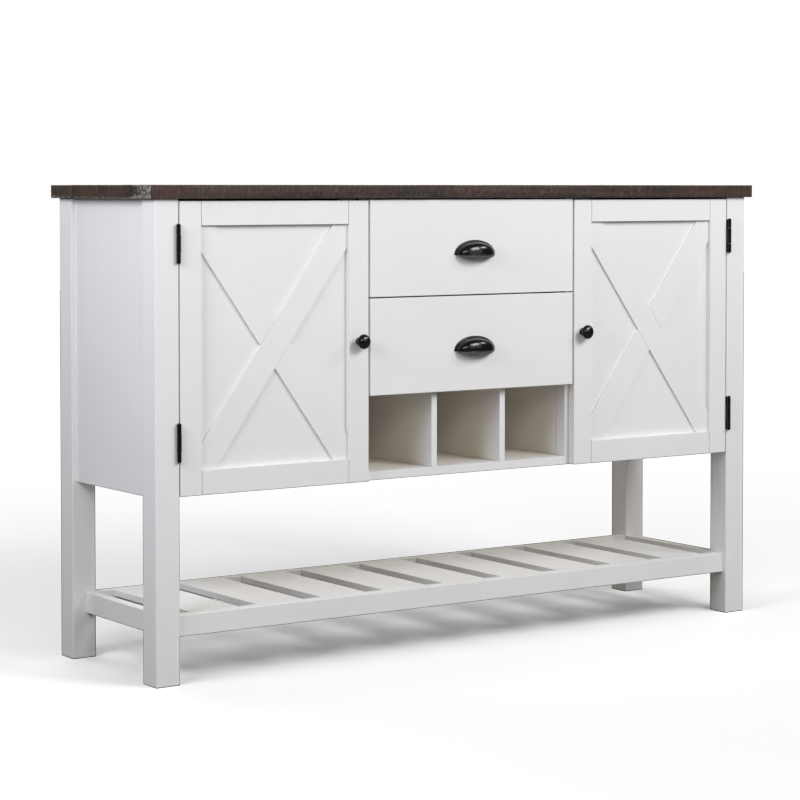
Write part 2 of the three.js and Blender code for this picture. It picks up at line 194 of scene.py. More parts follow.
def stained_wood(name, look):
    """Rough-sawn boards under a dark brown stain, pale where the mesh marks them: abraded edges and
    corners, and a painted highlight along the ends' lower edge.
    """
    s = Shader(name, Specular_IOR_Level=0.3)
    y = s.add("ShaderNodeSeparateXYZ", {0: s.place}).outputs[1]
    index = s.math("FLOOR", s.math("DIVIDE", y, TOP_BOARD))
    shift = s.add("ShaderNodeCombineXYZ", {0: s.math("MULTIPLY", index, 3.7), 2: index}).outputs[0]
    place = s.add("ShaderNodeVectorMath", {0: s.place, 1: shift}, operation="ADD").outputs[0]
    fibre = s.add("ShaderNodeMapping", {"Vector": place, "Scale": look["fibres"]}).outputs[0]
    grain = s.noise(fibre, 1.0, 8.0, 0.62, 0.4)
    tone = s.ramp(
        grain,
        (0.25, (0.008, 0.0055, 0.004)),
        (0.45, (0.026, 0.017, 0.012)),
        (0.6, (0.05, 0.033, 0.024)),
        (0.8, (0.095, 0.068, 0.052)),
    )
    patches = s.noise(place, look["patches"], 4.0, 0.65)
    tone = s.mix(s.remap(patches, 0.44, 0.62, 0.0, 0.7), tone, look["patch"])
    if look is END_LOOK:
        tone = s.mix(s.remap(patches, 0.52, 0.36, 0.0, 0.9), tone, (0.007, 0.0055, 0.005, 1.0))

    slant = s.add("ShaderNodeMapping", {"Vector": s.place, "Rotation": look["lean"]}).outputs[0]
    sawing = s.add("ShaderNodeMapping", {"Vector": slant, "Scale": look["strokes"]}).outputs[0]
    saw = s.noise(sawing, 1.0, 4.0, 0.72, 0.5)
    tone = s.mix(s.remap(saw, look["stroke_from"], 0.72, 0.0, 0.75), tone, look["stroke"])
    tone = s.mix(s.remap(saw, 0.48, 0.33, 0.0, 0.85), tone, (0.007, 0.005, 0.004, 1.0))

    # The mesh's mark holds abraded edges and corners, and a painted highlight along the ends' lower edge;
    # specks break it into pale flecks.
    wear_and_sheen = s.add("ShaderNodeAttribute", attribute_name="wear_and_sheen").outputs["Fac"]
    specks = s.noise(s.stretched(330.0, 330.0, 170.0), 1.0, 4.0, 0.75)
    wear_and_sheen_mask = s.remap(s.math("ADD", s.math("MULTIPLY", wear_and_sheen, 0.42), specks), 0.76, 0.9)
    rub_and_sheen = s.mix(s.remap(specks, 0.5, 0.68), (0.125, 0.115, 0.105, 1.0), (0.58, 0.56, 0.53, 1.0))
    tone = s.mix(s.math("MULTIPLY", wear_and_sheen_mask, 0.85), tone, rub_and_sheen)

    pores = s.noise(fibre, 5.0, 3.0, 0.7)
    height = s.math("ADD", s.math("MULTIPLY", saw, 0.7), s.math("MULTIPLY", pores, 0.3))
    rough = s.remap(grain, 0.3, 0.7, 0.72, 0.5)
    return s.finish(Base_Color=tone, Roughness=rough, Normal=s.bump(height, 0.5 * MM))


def black_enamel():
    """Glossy black enamel on cast metal, greyed where the mesh marks it: a painted reflection along the
    pulls' lip.
    """
    s = Shader("black_enamel", Metallic=0.0, Specular_IOR_Level=0.5)
    tone = s.ramp(s.noise(s.place, 60.0, 3.0), (0.3, (0.003, 0.003, 0.0035)), (0.75, (0.008, 0.008, 0.009)))
    # Painted reflection: the marked lip band is greyed, standing in for the floor that the lip would
    # mirror.
    wear_and_sheen_mask = s.add("ShaderNodeAttribute", attribute_name="wear_and_sheen").outputs["Fac"]
    tone = s.mix(wear_and_sheen_mask, tone, (0.105, 0.105, 0.1, 1.0))
    rough = s.remap(s.noise(s.place, 700.0, 3.0), 0.3, 0.75, 0.13, 0.22)
    ripple = s.noise(s.place, 160.0, 2.0)
    return s.finish(Base_Color=tone, Roughness=rough, Normal=s.bump(ripple, 0.03 * MM))


def zinc_steel():
    """Bright zinc-plated sheet, drawn lengthwise, with the dull spangle of the plating."""
    s = Shader("zinc_steel", Metallic=1.0)
    drawn = s.noise(s.stretched(900.0, 12.0, 900.0), 1.0, 3.0, 0.6)
    spangle = s.noise(s.place, 240.0, 2.0)
    tone = s.ramp(spangle, (0.3, (0.52, 0.53, 0.55)), (0.7, (0.68, 0.69, 0.7)))
    rough = s.remap(drawn, 0.3, 0.7, 0.24, 0.42)
    return s.finish(Base_Color=tone, Roughness=rough, Normal=s.bump(drawn, 0.02 * MM))


def drawer_wood(along):
    """Clear lacquer on pale drawer boards, with fine grain and broad bands along one axis."""
    s = Shader(f"drawer_wood_along_{along}", Coat_Weight=0.25, Coat_Roughness=0.25)
    fine = s.noise(s.stretched(*(5.0 if axis == along else 110.0 for axis in "xyz")), 1.0, 7.0, 0.6, 0.3)
    broad = s.noise(s.stretched(*(1.2 if axis == along else 26.0 for axis in "xyz")), 1.0, 3.0, 0.5, 1.2)
    browns = (0.3, (0.5, 0.33, 0.19)), (0.5, (0.64, 0.46, 0.29)), (0.72, (0.72, 0.56, 0.38))
    tone = s.ramp(fine, *browns)
    tone = s.mix(s.remap(broad, 0.5, 0.68, 0.0, 0.55), tone, (0.55, 0.36, 0.2, 1.0))
    rough = s.remap(fine, 0.3, 0.7, 0.5, 0.36)
    return s.finish(Base_Color=tone, Roughness=rough, Normal=s.bump(fine, 0.06 * MM))


def catch_plastic():
    """Moulded white plastic of a magnetic catch, with a fine spark-eroded texture."""
    s = Shader("catch_plastic", Specular_IOR_Level=0.5)
    grit = s.noise(s.place, 1500.0, 2.0)
    tone = s.ramp(s.noise(s.place, 40.0), (0.3, (0.6, 0.58, 0.54)), (0.7, (0.68, 0.66, 0.62)))
    rough = s.remap(grit, 0.3, 0.7, 0.4, 0.6)
    return s.finish(Base_Color=tone, Roughness=rough, Normal=s.bump(grit, 0.02 * MM))


PAINT = {axis: white_paint(axis) for axis in "xyz"}
# The inside boards' paint, with a painted shade that deepens behind the carcass front.
INSIDE_PAINT_AND_SHADE = {axis: white_paint(axis, inside=True) for axis in "xyz"}
STAIN = stained_wood("stained_top", FACE_LOOK)
STAIN_END = stained_wood("stained_end_grain", END_LOOK)
ENAMEL = black_enamel()
ZINC = zinc_steel()
DRAWER_WOOD = {axis: drawer_wood(axis) for axis in "xy"}
CATCH = catch_plastic()


# ---- Mesh helpers ----------------------------------------------------------------------------


def make_piece(name, bm, smooth_above=None):
    """A new object from bm. With smooth_above, in degrees, only edges sharper than that stay hard."""
    bmesh.ops.remove_doubles(bm, verts=bm.verts, dist=0.001 * MM)
    bmesh.ops.dissolve_degenerate(bm, edges=bm.edges, dist=0.0005 * MM)
    bmesh.ops.recalc_face_normals(bm, faces=bm.faces)
    if smooth_above is not None:
        for face in bm.faces:
            face.smooth = True
        for edge in bm.edges:
            sharp = len(edge.link_faces) == 2 and edge.calc_face_angle() > math.radians(smooth_above)
            edge.smooth = not sharp
    mesh = bpy.data.meshes.new(name)
    bm.to_mesh(mesh)
    bm.free()
    piece = bpy.data.objects.new(name, mesh)
    SCENE.collection.objects.link(piece)
    return piece


def fit(piece, body, material, stands_for=()):
    """Gives a piece its material and the body that it rides, and hides the CAD nodes that it stands for."""
    if not piece.data.materials:
        piece.data.materials.append(material)
    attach(piece, body)
    if stands_for:
        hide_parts(*stands_for)


def ease(piece, width):
    """Rounds a board's edges, and keeps its flat faces shaded flat."""
    weld = piece.modifiers.new("weld", "WELD")
    weld.merge_threshold = 0.01 * MM
    flats = piece.modifiers.new("flats", "DECIMATE")
    flats.decimate_type = "DISSOLVE"
    flats.angle_limit = math.radians(1.0)
    edges = piece.modifiers.new("edges", "BEVEL")
    edges.width = width
    edges.segments = 3
    edges.limit_method = "ANGLE"
    edges.angle_limit = math.radians(40.0)
    edges.harden_normals = True
    shading = piece.modifiers.new("shading", "WEIGHTED_NORMAL")
    shading.keep_sharp = True
    return piece


def add_box(bm, low, high):
    low, high = Vector(low), Vector(high)
    place = Matrix.Translation((low + high) / 2) @ Matrix.Diagonal((*(high - low), 1.0))
    bmesh.ops.create_cube(bm, size=1.0, matrix=place)


def board(name, low, high):
    bm = bmesh.new()
    add_box(bm, low, high)
    return make_piece(name, bm, smooth_above=30.0)


def prism(name, outline, axis, low, high):
    """An outline in the two other axes, in their order, drawn out along x or y from low to high."""
    bm = bmesh.new()
    turn = {"x": lambda a, b, c: (c, a, b), "y": lambda a, b, c: (a, c, b)}[axis]
    ends = [[bm.verts.new(turn(a, b, c)) for a, b in outline] for c in (low, high)]
    count = len(outline)
    for i in range(count):
        j = (i + 1) % count
        bm.faces.new((ends[0][i], ends[0][j], ends[1][j], ends[1][i]))
    bm.faces.new(ends[0])
    bm.faces.new(ends[1])
    return make_piece(name, bm, smooth_above=30.0)


def bake(piece):
    """Applies a piece's modifiers."""
    graph = bpy.context.evaluated_depsgraph_get()
    mesh = bpy.data.meshes.new_from_object(piece.evaluated_get(graph), depsgraph=graph)
    old = piece.data
    piece.modifiers.clear()
    piece.data = mesh
    bpy.data.meshes.remove(old)


def carve(piece, *boxes):
    """Takes boxes, each (low, high), out of a piece, and applies the modifiers that it has."""
    bm = bmesh.new()
    for low, high in boxes:
        add_box(bm, low, high)
    cutter = make_piece("cutter", bm)
    cut = piece.modifiers.new("cut", "BOOLEAN")
    cut.operation = "DIFFERENCE"
    cut.solver = "EXACT"
    cut.object = cutter
    bake(piece)
    bpy.data.objects.remove(cutter)


def spin(bm, profile, place, steps):
    """Turns (radius, height) points about the Z axis, then puts the result where place says."""
    rings = []
    for radius, height in profile:
        count = 1 if radius == 0 else steps
        angles = [2 * math.pi * i / steps for i in range(count)]
        ring = [Vector((radius * math.cos(a), radius * math.sin(a), height)) for a in angles]
        rings.append([bm.verts.new(place @ point) for point in ring])
    for low, high in zip(rings, rings[1:]):
        for i in range(steps):
            j = (i + 1) % steps
            corners = [low[i % len(low)], low[j % len(low)], high[j % len(high)], high[i % len(high)]]
            distinct = list(dict.fromkeys(corners))
            if len(distinct) > 2:
                bm.faces.new(distinct)


def arc(centre, radius, start, end, steps):
    """Points on an arc, with angles in degrees."""
    angles = [math.radians(start + (end - start) * i / steps) for i in range(steps + 1)]
    return [(centre[0] + radius * math.cos(a), centre[1] + radius * math.sin(a)) for a in angles]


def curve(a, b, c, steps):
    """Points on a quadratic curve from a to c that leans towards b."""
    points = []
    for i in range(steps + 1):
        t = i / steps
        points.append(tuple((1 - t) ** 2 * p + 2 * t * (1 - t) * q + t * t * r for p, q, r in zip(a, b, c)))
    return points


# A turn that sends +Z to each direction that screws, knobs and hinge tips point in.
FACING = {
    "-y": Matrix.Rotation(math.pi / 2, 4, "X"),
    "+y": Matrix.Rotation(-math.pi / 2, 4, "X"),
    "+x": Matrix.Rotation(math.pi / 2, 4, "Y"),
    "-x": Matrix.Rotation(-math.pi / 2, 4, "Y"),
    "-z": Matrix.Rotation(math.pi, 4, "X"),
}


def screw_mesh(radius, height, recess):
    """A screw head: a low dome with a cross cut in it. It is made once and copied."""
    bm = bmesh.new()
    crown = [(radius * math.sin(a), height * math.cos(a) ** 0.8) for a in (1.45, 1.2, 0.9, 0.6, 0.3)]
    spin(bm, [(0, 0), (radius, 0), *crown, (0, height)], Matrix.Identity(4), 24)
    head = make_piece("screw_head", bm, smooth_above=40.0)
    arm, slot = radius * 0.62, radius * 0.16
    carve(head, ((-arm, -slot, height - recess), (arm, slot, height * 2)))
    carve(head, ((-slot, -arm, height - recess), (slot, arm, height * 2)))
    mesh = head.data
    bpy.data.objects.remove(head)
    return mesh


PAN_HEAD = screw_mesh(3.8 * MM, 2.0 * MM, 1.1 * MM)
FLAT_HEAD = screw_mesh(2.9 * MM, 0.22 * MM, 0.18 * MM)


def screws(name, head, places, facing):
    """Copies of a screw head at places, as one piece of separate solids."""
    bm = bmesh.new()
    for place in places:
        start = len(bm.verts)
        bm.from_mesh(head)
        bm.verts.ensure_lookup_table()
        matrix = Matrix.Translation(place) @ FACING[facing]
        bmesh.ops.transform(bm, matrix=matrix, verts=bm.verts[start:])
    return make_piece(name, bm, smooth_above=40.0)


# ---- Carried-over boards ---------------------------------------------------------------------


def finish_cad_node(name, material, edge):
    """Keeps a CAD node as it is, under a material and with its edges rounded by edge millimetres."""
    node = frame["nodes"][name]
    node.data.materials.clear()
    node.data.materials.append(material)
    ease(node, edge * MM)


SEAM = 1.0 * MM  # the open line between two boards that are glued edge to edge
PARTITION = 12 * MM  # the thickness of a partition's board
LIPPING_DEPTH = 27 * MM  # how far back the lipping on its front edge reaches
LIPPING_GAP = 1.5 * MM  # between a partition's lipping and its board
SCREW_INSET = 8 * MM  # the back panel's screws, in from its edges


def paint_carcass():
    """Paints the boards kept from the CAD, with the grain along each, and plates the slides."""
    along = {
        "x": ["cubby_ceiling", "shelf_rail_front", "shelf_rail_back"],
        "y": ["bottom_panel", "shelf_rail_left", "shelf_rail_right"],
        "z": ["back_panel"],
    }
    for side, _ in SIDES:
        along["x"].append(f"cupboard_shelf_{side}")
        along["y"].append(f"cubby_divider_{side}")
        along["z"] += [f"leg_back_{side}", f"side_panel_{side}", f"door_{side}_panel"]
        along["z"] += [f"door_{side}_brace_{part}" for part in ("long", "upper", "lower")]
    along["y"] += [f"shelf_slat_{i + 1}" for i in range(9)]
    along["x"] += [f"drawer_{name}_front" for name in DRAWERS]
    edges = {"leg": 1.6, "panel": 0.4, "brace": 0.4}
    for axis, names in along.items():
        for name in names:
            edge = next((width for word, width in edges.items() if word in name), 0.9)
            # Inside boards take the paint whose colour carries a painted shade.
            inside = any(word in name for word in ("cubby", "cupboard", "bottom", "back_panel"))
            finish_cad_node(name, (INSIDE_PAINT_AND_SHADE if inside else PAINT)[axis], edge)
    for name in DRAWERS:
        for side, _ in SIDES:
            finish_cad_node(f"drawer_slide_{name}_{side}", ZINC, 0.3)


def add_partition(side, sign):
    """A partition's board and the wider lipping glued to its front edge, with a seam between them."""
    node = f"partition_{side}"
    low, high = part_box(node)
    seam = low.y + LIPPING_DEPTH
    face, thick = (low.x, PARTITION) if sign > 0 else (high.x, -PARTITION)
    near, far = sorted((face, face + thick))
    parts = {"lipping": ((low.x, low.y, low.z), (high.x, seam, high.z)),
             "board": ((near, seam + LIPPING_GAP, low.z), (far, high.y, high.z))}
    for part, (corner, opposite) in parts.items():
        piece = ease(board(f"partition_{part}_{side}", corner, opposite), 0.5 * MM)
        # The board takes the paint with a painted shade; the lipping at the front does not.
        paint = PAINT if part == "lipping" else INSIDE_PAINT_AND_SHADE
        fit(piece, "carcass", paint["z"], [node])


def add_back_screws():
    """Screws round the back panel's edge and up each partition."""
    low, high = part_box("back_panel")
    left, right = low.x + SCREW_INSET, high.x - SCREW_INSET
    bottom, top = low.z + SCREW_INSET, high.z - SCREW_INSET
    spots = [(left + (right - left) * i / 8, z) for i in range(9) for z in (bottom, top)]
    columns = [left, right] + [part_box(f"partition_{side}")[0].x + PARTITION / 2 for side, _ in SIDES]
    spots += [(x, bottom + (top - bottom) * i / 4) for x in columns for i in (1, 2, 3)]
    heads = [(x, high.y, z) for x, z in spots]
    fit(screws("back_panel_screws", FLAT_HEAD, heads, "+y"), "carcass", ZINC)


# ---- Top -------------------------------------------------------------------------------------

CORNER_RUB = 80 * MM  # how far along an end its rubbed corner reaches
CORNER_WEAR = {(-1, -1): 1.0, (1, -1): 0.5, (-1, 1): 0.35, (1, 1): 0.6}
JOINT_EDGE = 5 * MM  # how near a glued joint an edge stays crisp
WAVE_DEPTH = 6 * MM  # how deep below the top's face the saw's waves fade out


def cut_points(low, high, step):
    """Places for grid lines from low to high: close together near both ends, then about step apart."""
    near = [0, 0.6 * MM, 1.4 * MM, 2.6 * MM, 4.5 * MM, 8 * MM]
    if high - near[-1] <= low + near[-1]:
        near.pop()
    inner_low, inner_high = low + near[-1], high - near[-1]
    count = max(1, round((inner_high - inner_low) / step))
    middle = [inner_low + (inner_high - inner_low) * i / count for i in range(count + 1)]
    return [low + d for d in near[:-1]] + middle + [high - d for d in reversed(near[:-1])]


def grid_box(bm, xs, ys, zs):
    """A box's surface as a grid with lines at the given places along each axis."""
    found = {}

    def corner(x, y, z):
        key = (round(x * 1e6), round(y * 1e6), round(z * 1e6))
        if key not in found:
            found[key] = bm.verts.new((x, y, z))
        return found[key]

    def sheet(us, vs, point):
        for u0, u1 in zip(us, us[1:]):
            for v0, v1 in zip(vs, vs[1:]):
                bm.faces.new([corner(*point(u, v)) for u, v in ((u0, v0), (u1, v0), (u1, v1), (u0, v1))])

    for x in (xs[0], xs[-1]):
        sheet(ys, zs, lambda v, w, x=x: (x, v, w))
    for y in (ys[0], ys[-1]):
        sheet(xs, zs, lambda u, w, y=y: (u, y, w))
    for z in (zs[0], zs[-1]):
        sheet(xs, ys, lambda u, v, z=z: (u, v, z))


def wobble(point, scale, seed):
    """Smooth noise from 0 to 1 at a point."""
    return 0.5 + 0.5 * noise.noise(Vector(point) * scale + Vector((seed, 2.3 * seed, -seed)))


def top_board(index):
    """One rough-sawn board: eased and chipped edges, and shallow waves left by the saw."""
    low = Vector((TOP_LOW.x, TOP_LOW.y + index * TOP_BOARD, TOP_LOW.z))
    high = Vector((TOP_HIGH.x, TOP_LOW.y + (index + 1) * TOP_BOARD, TOP_HIGH.z))
    bm = bmesh.new()
    grid_box(bm, *(cut_points(a, b, step * MM) for a, b, step in zip(low, high, (6, 8, 3))))
    # The mark holds abraded edges and corners, and the painted highlight along the ends' lower edge.
    wear_and_sheen = bm.verts.layers.float.new("wear_and_sheen")
    outer = [low.x, TOP_LOW.y, low.z], [high.x, TOP_HIGH.y, high.z]
    for vert in bm.verts:
        point = vert.co.copy()
        gaps = sorted(min(point[i] - outer[0][i], outer[1][i] - point[i]) for i in range(3))
        from_edge = gaps[1]
        chip = max(0.0, wobble(point, 42.0, 5.0 + index) - 0.62) * 6.0
        joint_before = index > 0 and point.y < low.y + JOINT_EDGE
        joint_behind = index < TOP_BOARDS - 1 and point.y > high.y - JOINT_EDGE
        rough_radius = 1.5 + 0.7 * wobble(point, 130.0, index) + 2.0 * chip
        radius = (0.6 if joint_before or joint_behind else rough_radius) * MM
        inner = Vector([min(max(point[i], low[i] + radius), high[i] - radius) for i in range(3)])
        out = point - inner
        if out.length > 0:
            vert.co = inner + out.normalized() * min(radius, out.length)
        waves = 0.45 * MM * wobble((point.x, point.y * 0.35, 0), 16.0, 9.0 + index)
        if point.z > high.z - WAVE_DEPTH:
            vert.co.z -= waves * min(1.0, (point.z - high.z + WAVE_DEPTH) / WAVE_DEPTH)
        corner = (1 if point.x > 0 else -1, 1 if point.y > 0 else -1)
        on_end = abs(point.x) > high.x - 1.0 * MM
        to_corner = TOP_HIGH.y - abs(point.y)
        rub = min(1.0, 1.5 * max(0.0, 1 - to_corner / CORNER_RUB))
        rub_and_sheen = CORNER_WEAR[corner] * rub if on_end else 0.0
        # Along an end's lower edge the pale band reaches further up: a painted highlight where that edge
        # catches the light.
        fade = (4.8 if on_end and point.z < low.z + 8 * MM else 1.6) * MM
        vert[wear_and_sheen] = min(1.0, (1.0 if on_end else 0.8) * math.exp(-from_edge / fade) + 0.8 * rub_and_sheen)
    bmesh.ops.recalc_face_normals(bm, faces=bm.faces)
    for face in bm.faces:
        face.material_index = 1 if abs(face.normal.x) > 0.7 else 0
    piece = make_piece(f"top_board_{index + 1}", bm, smooth_above=50.0)
    piece.data.materials.append(STAIN)
    piece.data.materials.append(STAIN_END)
    fit(piece, "carcass", STAIN, ["table_top"])


# ---- Hinges and front legs -------------------------------------------------------------------

LEAF = 1.0 * MM  # the fixed leaf's thickness; the moving one is thicker, down to the door's planed edge
LEAF_HALF = 34 * MM  # half of a leaf's height
LEAF_DEPTH = 15 * MM  # how far back from the leg's front a leaf reaches
LEAF_SCREWS = 8.5 * MM  # how far back from the leg's front the screws are
LEAF_SCREW_GAP = 25 * MM
MORTISE = 0.5 * MM  # how deep the fixed leaves are let into the leg
BARREL = 4.0 * MM  # the knuckles' radius
KNUCKLE = 16.2 * MM  # half of the door leaf's middle knuckle
KNUCKLE_GAP = 0.3 * MM
KNUCKLE_EDGE = 0.45 * MM
TIP = 1.9 * MM  # the height of the rounded tips
TIP_RADIUS = 3.2 * MM
JOINTS = {joint["name"]: joint for joint in frame["joints"]}
HINGES = [(side, sign, place) for side, sign in SIDES for place in ("lower", "upper")]


def hinge_middle(side, place):
    """A hinge's axis at half its height, from its joint and its CAD leaf."""
    axis = JOINTS[f"{side}_door_hinge"]["pos_m"]
    low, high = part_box(f"hinge_{side}_{place}_fixed_leaf")
    return Vector((axis[0], axis[1], (low.z + high.z) / 2))


def leaf_piece(name, side, place, sides_x, knuckles, tips):
    """A leaf with its tongues and knuckles. sides_x holds where its two flat sides are."""
    middle = hinge_middle(side, place)
    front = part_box(f"leg_front_{side}")[0].y
    x0, x1 = sorted(sides_x)
    bottom, top = middle.z - LEAF_HALF, middle.z + LEAF_HALF
    bm = bmesh.new()
    add_box(bm, (x0, front + 0.3 * MM, bottom), (x1, front + LEAF_DEPTH, top))
    for low, high in knuckles:
        add_box(bm, (x0, middle.y, middle.z + low), (x1, front + 1 * MM, middle.z + high))
        lower = [(0, low), (BARREL - KNUCKLE_EDGE, low), (BARREL, low + KNUCKLE_EDGE)]
        upper = [(BARREL, high - KNUCKLE_EDGE), (BARREL - KNUCKLE_EDGE, high), (0, high)]
        spin(bm, lower + upper, Matrix.Translation(middle), 32)
    for end in tips:
        cap = [(0, -MM), (TIP_RADIUS, -MM), *arc((0, 0), TIP_RADIUS, 0, 80, 7), (0, TIP_RADIUS)]
        cap = [(radius, min(height, height * TIP / TIP_RADIUS)) for radius, height in cap]
        turn = Matrix.Identity(4) if end > 0 else FACING["-z"]
        spin(bm, cap, Matrix.Translation(middle + Vector((0, 0, end * LEAF_HALF))) @ turn, 24)
    return make_piece(name, bm, smooth_above=35.0)


def add_hinge(side, sign, place):
    """A hinge's fixed leaf on the leg, its moving leaf on the door, and their screws."""
    middle = hinge_middle(side, place)
    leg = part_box(f"leg_front_{side}")
    leg_face = leg[0].x if sign > 0 else leg[1].x
    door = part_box(f"door_{side}_frame")
    door_face = door[1].x if sign > 0 else door[0].x
    prefix = f"hinge_{side}_{place}"

    outer = [(-LEAF_HALF, -KNUCKLE - KNUCKLE_GAP), (KNUCKLE + KNUCKLE_GAP, LEAF_HALF)]
    sunk = (leg_face - LEAF / 2, leg_face + LEAF / 2)
    fixed = leaf_piece(f"{prefix}_fixed", side, place, sunk, outer, (-1, 1))
    fit(fixed, "carcass", ENAMEL, [f"{prefix}_fixed_leaf"])
    seated = (door_face - sign * EDGE_TRIM, door_face + sign * LEAF / 2)
    moving = leaf_piece(f"{prefix}_moving", side, place, seated, [(-KNUCKLE, KNUCKLE)], ())
    fit(moving, f"{side}_door", ENAMEL, [f"{prefix}_door_leaf"])

    depth = leg[0].y + LEAF_SCREWS
    heights = [middle.z + d for d in (-LEAF_SCREW_GAP, 0, LEAF_SCREW_GAP)]
    holders = ("fixed", "carcass", leg_face, -sign), ("moving", f"{side}_door", door_face, sign)
    for name, body, face, to in holders:
        places = [(face + to * LEAF / 2, depth, z) for z in heights]
        heads = screws(f"{prefix}_{name}_screws", FLAT_HEAD, places, "+x" if to > 0 else "-x")
        fit(heads, body, ENAMEL)


def mortises(side, face_x):
    """The boxes that a side's two fixed leaves take out of the leg, centred on its face at face_x."""
    boxes = []
    for place in ("lower", "upper"):
        middle = hinge_middle(side, place)
        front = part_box(f"leg_front_{side}")[0].y
        low = (face_x - MORTISE, front - 1 * MM, middle.z - LEAF_HALF)
        boxes.append((low, (face_x + MORTISE, front + LEAF_DEPTH, middle.z + LEAF_HALF)))
    return boxes


def add_front_leg(side, sign):
    """A front leg, with mortises for the fixed leaves of its hinges."""
    node = f"leg_front_{side}"
    low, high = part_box(node)
    leg = ease(board(f"front_leg_{side}", low, high), 1.6 * MM)
    carve(leg, *mortises(side, low.x if sign > 0 else high.x))
    fit(leg, "carcass", PAINT["z"], [node])


# ---- Doors -----------------------------------------------------------------------------------

REBATE = 8 * MM  # how far the door's panel reaches into its frame
CATCH_INSET = 36 * MM  # the catch's middle, in from the door's free edge
EDGE_TRIM = 1.1 * MM  # planed off the doors' upright and top edges


def knob_profile():
    """The knob's (radius, height) section in millimetres: flared foot, slim neck, round head."""
    foot = [(0, 0), (7.5, 0), *arc((7.1, 0.9), 0.4, 0, 90, 3)]
    neck = curve((6.7, 1.3), (5.0, 2.6), (5.3, 6.6), 8)
    flare = curve((5.3, 6.6), (5.9, 11.4), (11.2, 13.1), 10)[1:]
    rim = curve((11.2, 13.1), (13.9, 14.1), (14.0, 16.3), 8)[1:]
    shoulder = curve((14.0, 16.3), (13.6, 20.6), (7.6, 23.2), 10)[1:]
    crown = curve((7.6, 23.2), (4.0, 24.5), (0, 24.5), 8)[1:]
    return foot + neck + flare + rim + shoulder + crown


def add_knob(side):
    """A door's knob, and the screw that holds it from behind."""
    node = f"door_{side}_knob"
    body = f"{side}_door"
    low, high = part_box(node)
    place = Vector(((low.x + high.x) / 2, high.y, (low.z + high.z) / 2))
    bm = bmesh.new()
    profile = [(radius * MM, height * MM) for radius, height in knob_profile()]
    spin(bm, profile, Matrix.Translation(place) @ FACING["-y"], 64)
    knob = make_piece(f"{body}_knob", bm, smooth_above=45.0)
    fit(knob, body, ENAMEL, [node])
    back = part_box(f"door_{side}_frame")[1].y
    screw = screws(f"{body}_knob_screw", PAN_HEAD, [(place.x, back, place.z)], "+y")
    fit(screw, body, ZINC)


def add_door(side, sign):
    """The door's frame as two stiles and two rails, so that its joints show, and its hardware."""
    node = f"door_{side}_frame"
    body = f"{side}_door"
    low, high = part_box(node)
    panel_low, panel_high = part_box(f"door_{side}_panel")
    sight_low = Vector((panel_low.x + REBATE, low.y, panel_low.z + REBATE))
    sight_high = Vector((panel_high.x - REBATE, high.y, panel_high.z - REBATE))
    pocket = (panel_low, (panel_high.x, high.y + MM, panel_high.z))
    door_top = high.z - EDGE_TRIM

    stiles = {-1: (low.x + EDGE_TRIM, sight_low.x), 1: (sight_high.x, high.x - EDGE_TRIM)}
    for end, (x0, x1) in stiles.items():
        name = "hinge_stile" if end == sign else "knob_stile"
        stile = ease(board(f"{body}_{name}", (x0, low.y, low.z), (x1, high.y, door_top)), 0.6 * MM)
        carve(stile, pocket)
        fit(stile, body, PAINT["z"], [node])
    rails = {"bottom_rail": (low.z, sight_low.z), "top_rail": (sight_high.z, door_top)}
    for name, (z0, z1) in rails.items():
        rail = board(f"{body}_{name}", (sight_low.x + SEAM, low.y, z0), (sight_high.x - SEAM, high.y, z1))
        ease(rail, 0.5 * MM)
        carve(rail, pocket)
        fit(rail, body, PAINT["x"], [node])

    add_knob(side)
    add_catch(side, sign, low, high)


def add_catch(side, sign, low, high):
    """A magnetic catch under the top, behind the knob stile, and its steel plate on the door."""
    x = (high.x if sign < 0 else low.x) + sign * CATCH_INSET
    half, tall, deep = 20 * MM, 12 * MM, 16 * MM
    front = high.y + 2 * MM
    top = TOP_LOW.z
    bm = bmesh.new()
    add_box(bm, (x - half, front, top - tall), (x + half, front + deep, top))
    catch = ease(make_piece(f"{side}_magnetic_catch", bm), 0.8 * MM)
    fit(catch, "carcass", CATCH)
    bm = bmesh.new()
    for z in (top - 0.7 * tall, top - 0.35 * tall):
        corner = (x - 0.6 * half, front - 0.5 * MM, z - 0.6 * MM)
        add_box(bm, corner, (x + 0.6 * half, front + 2 * MM, z + 0.6 * MM))
    fit(make_piece(f"{side}_catch_keepers", bm), "carcass", ZINC)
    corner = (x - half, high.y, high.z - 15 * MM)
    plate = board(f"{side}_strike_plate", corner, (x + half, high.y + 1 * MM, high.z - 2 * MM))
    fit(ease(plate, 0.3 * MM), f"{side}_door", ZINC)


# ---- Drawers ---------------------------------------------------------------------------------

TRAY_WALL = 12 * MM
TRAY_FLOOR = 5 * MM
FLOOR_TOP = 14 * MM  # the drawer's floor, above the lower edges of its sides
GROOVE = 5 * MM
FRONT_SCREW_ASIDE = 110 * MM  # the drawer fronts' screws: to each side of the middle,
FRONT_SCREW_UP = 35 * MM  # up from the lower edge of the tray's front,
FRONT_SCREW_DOWN = 30 * MM  # and down from its upper edge
FULLNESS = 0.72  # below 1, the pull's dome is squarer than an ellipse

# The cup pull in millimetres: half the width and the height of its flange, the same of its dome, how far
# the dome stands out from the flange and the lip hangs below it, the flange's thickness, the radius of the
# fillet between flange and dome, the dome's thickness, and the radius of softened edges.
PULL = {
    "half": 48,
    "crown": 28,
    "dome_half": 44,
    "dome_crown": 24,
    "reach": 21.2,
    "sag": 7.4,
    "flange": 2.0,
    "fillet": 1.1,
    "wall": 2.2,
    "soft": 0.9,
}
PULL_SCREW_ASIDE = 38 * MM
PULL_SCREW_UP = 8 * MM
PULL_STEPS = 56

SLIDE_HALF = 15.5 * MM  # half the height of a slide's inner member
SLIDE_SHEET = 1.2 * MM
SLIDE_DEPTH = 9 * MM
SLIDE_SCREWS = (40 * MM, 150 * MM, 260 * MM)  # back from the tray's front


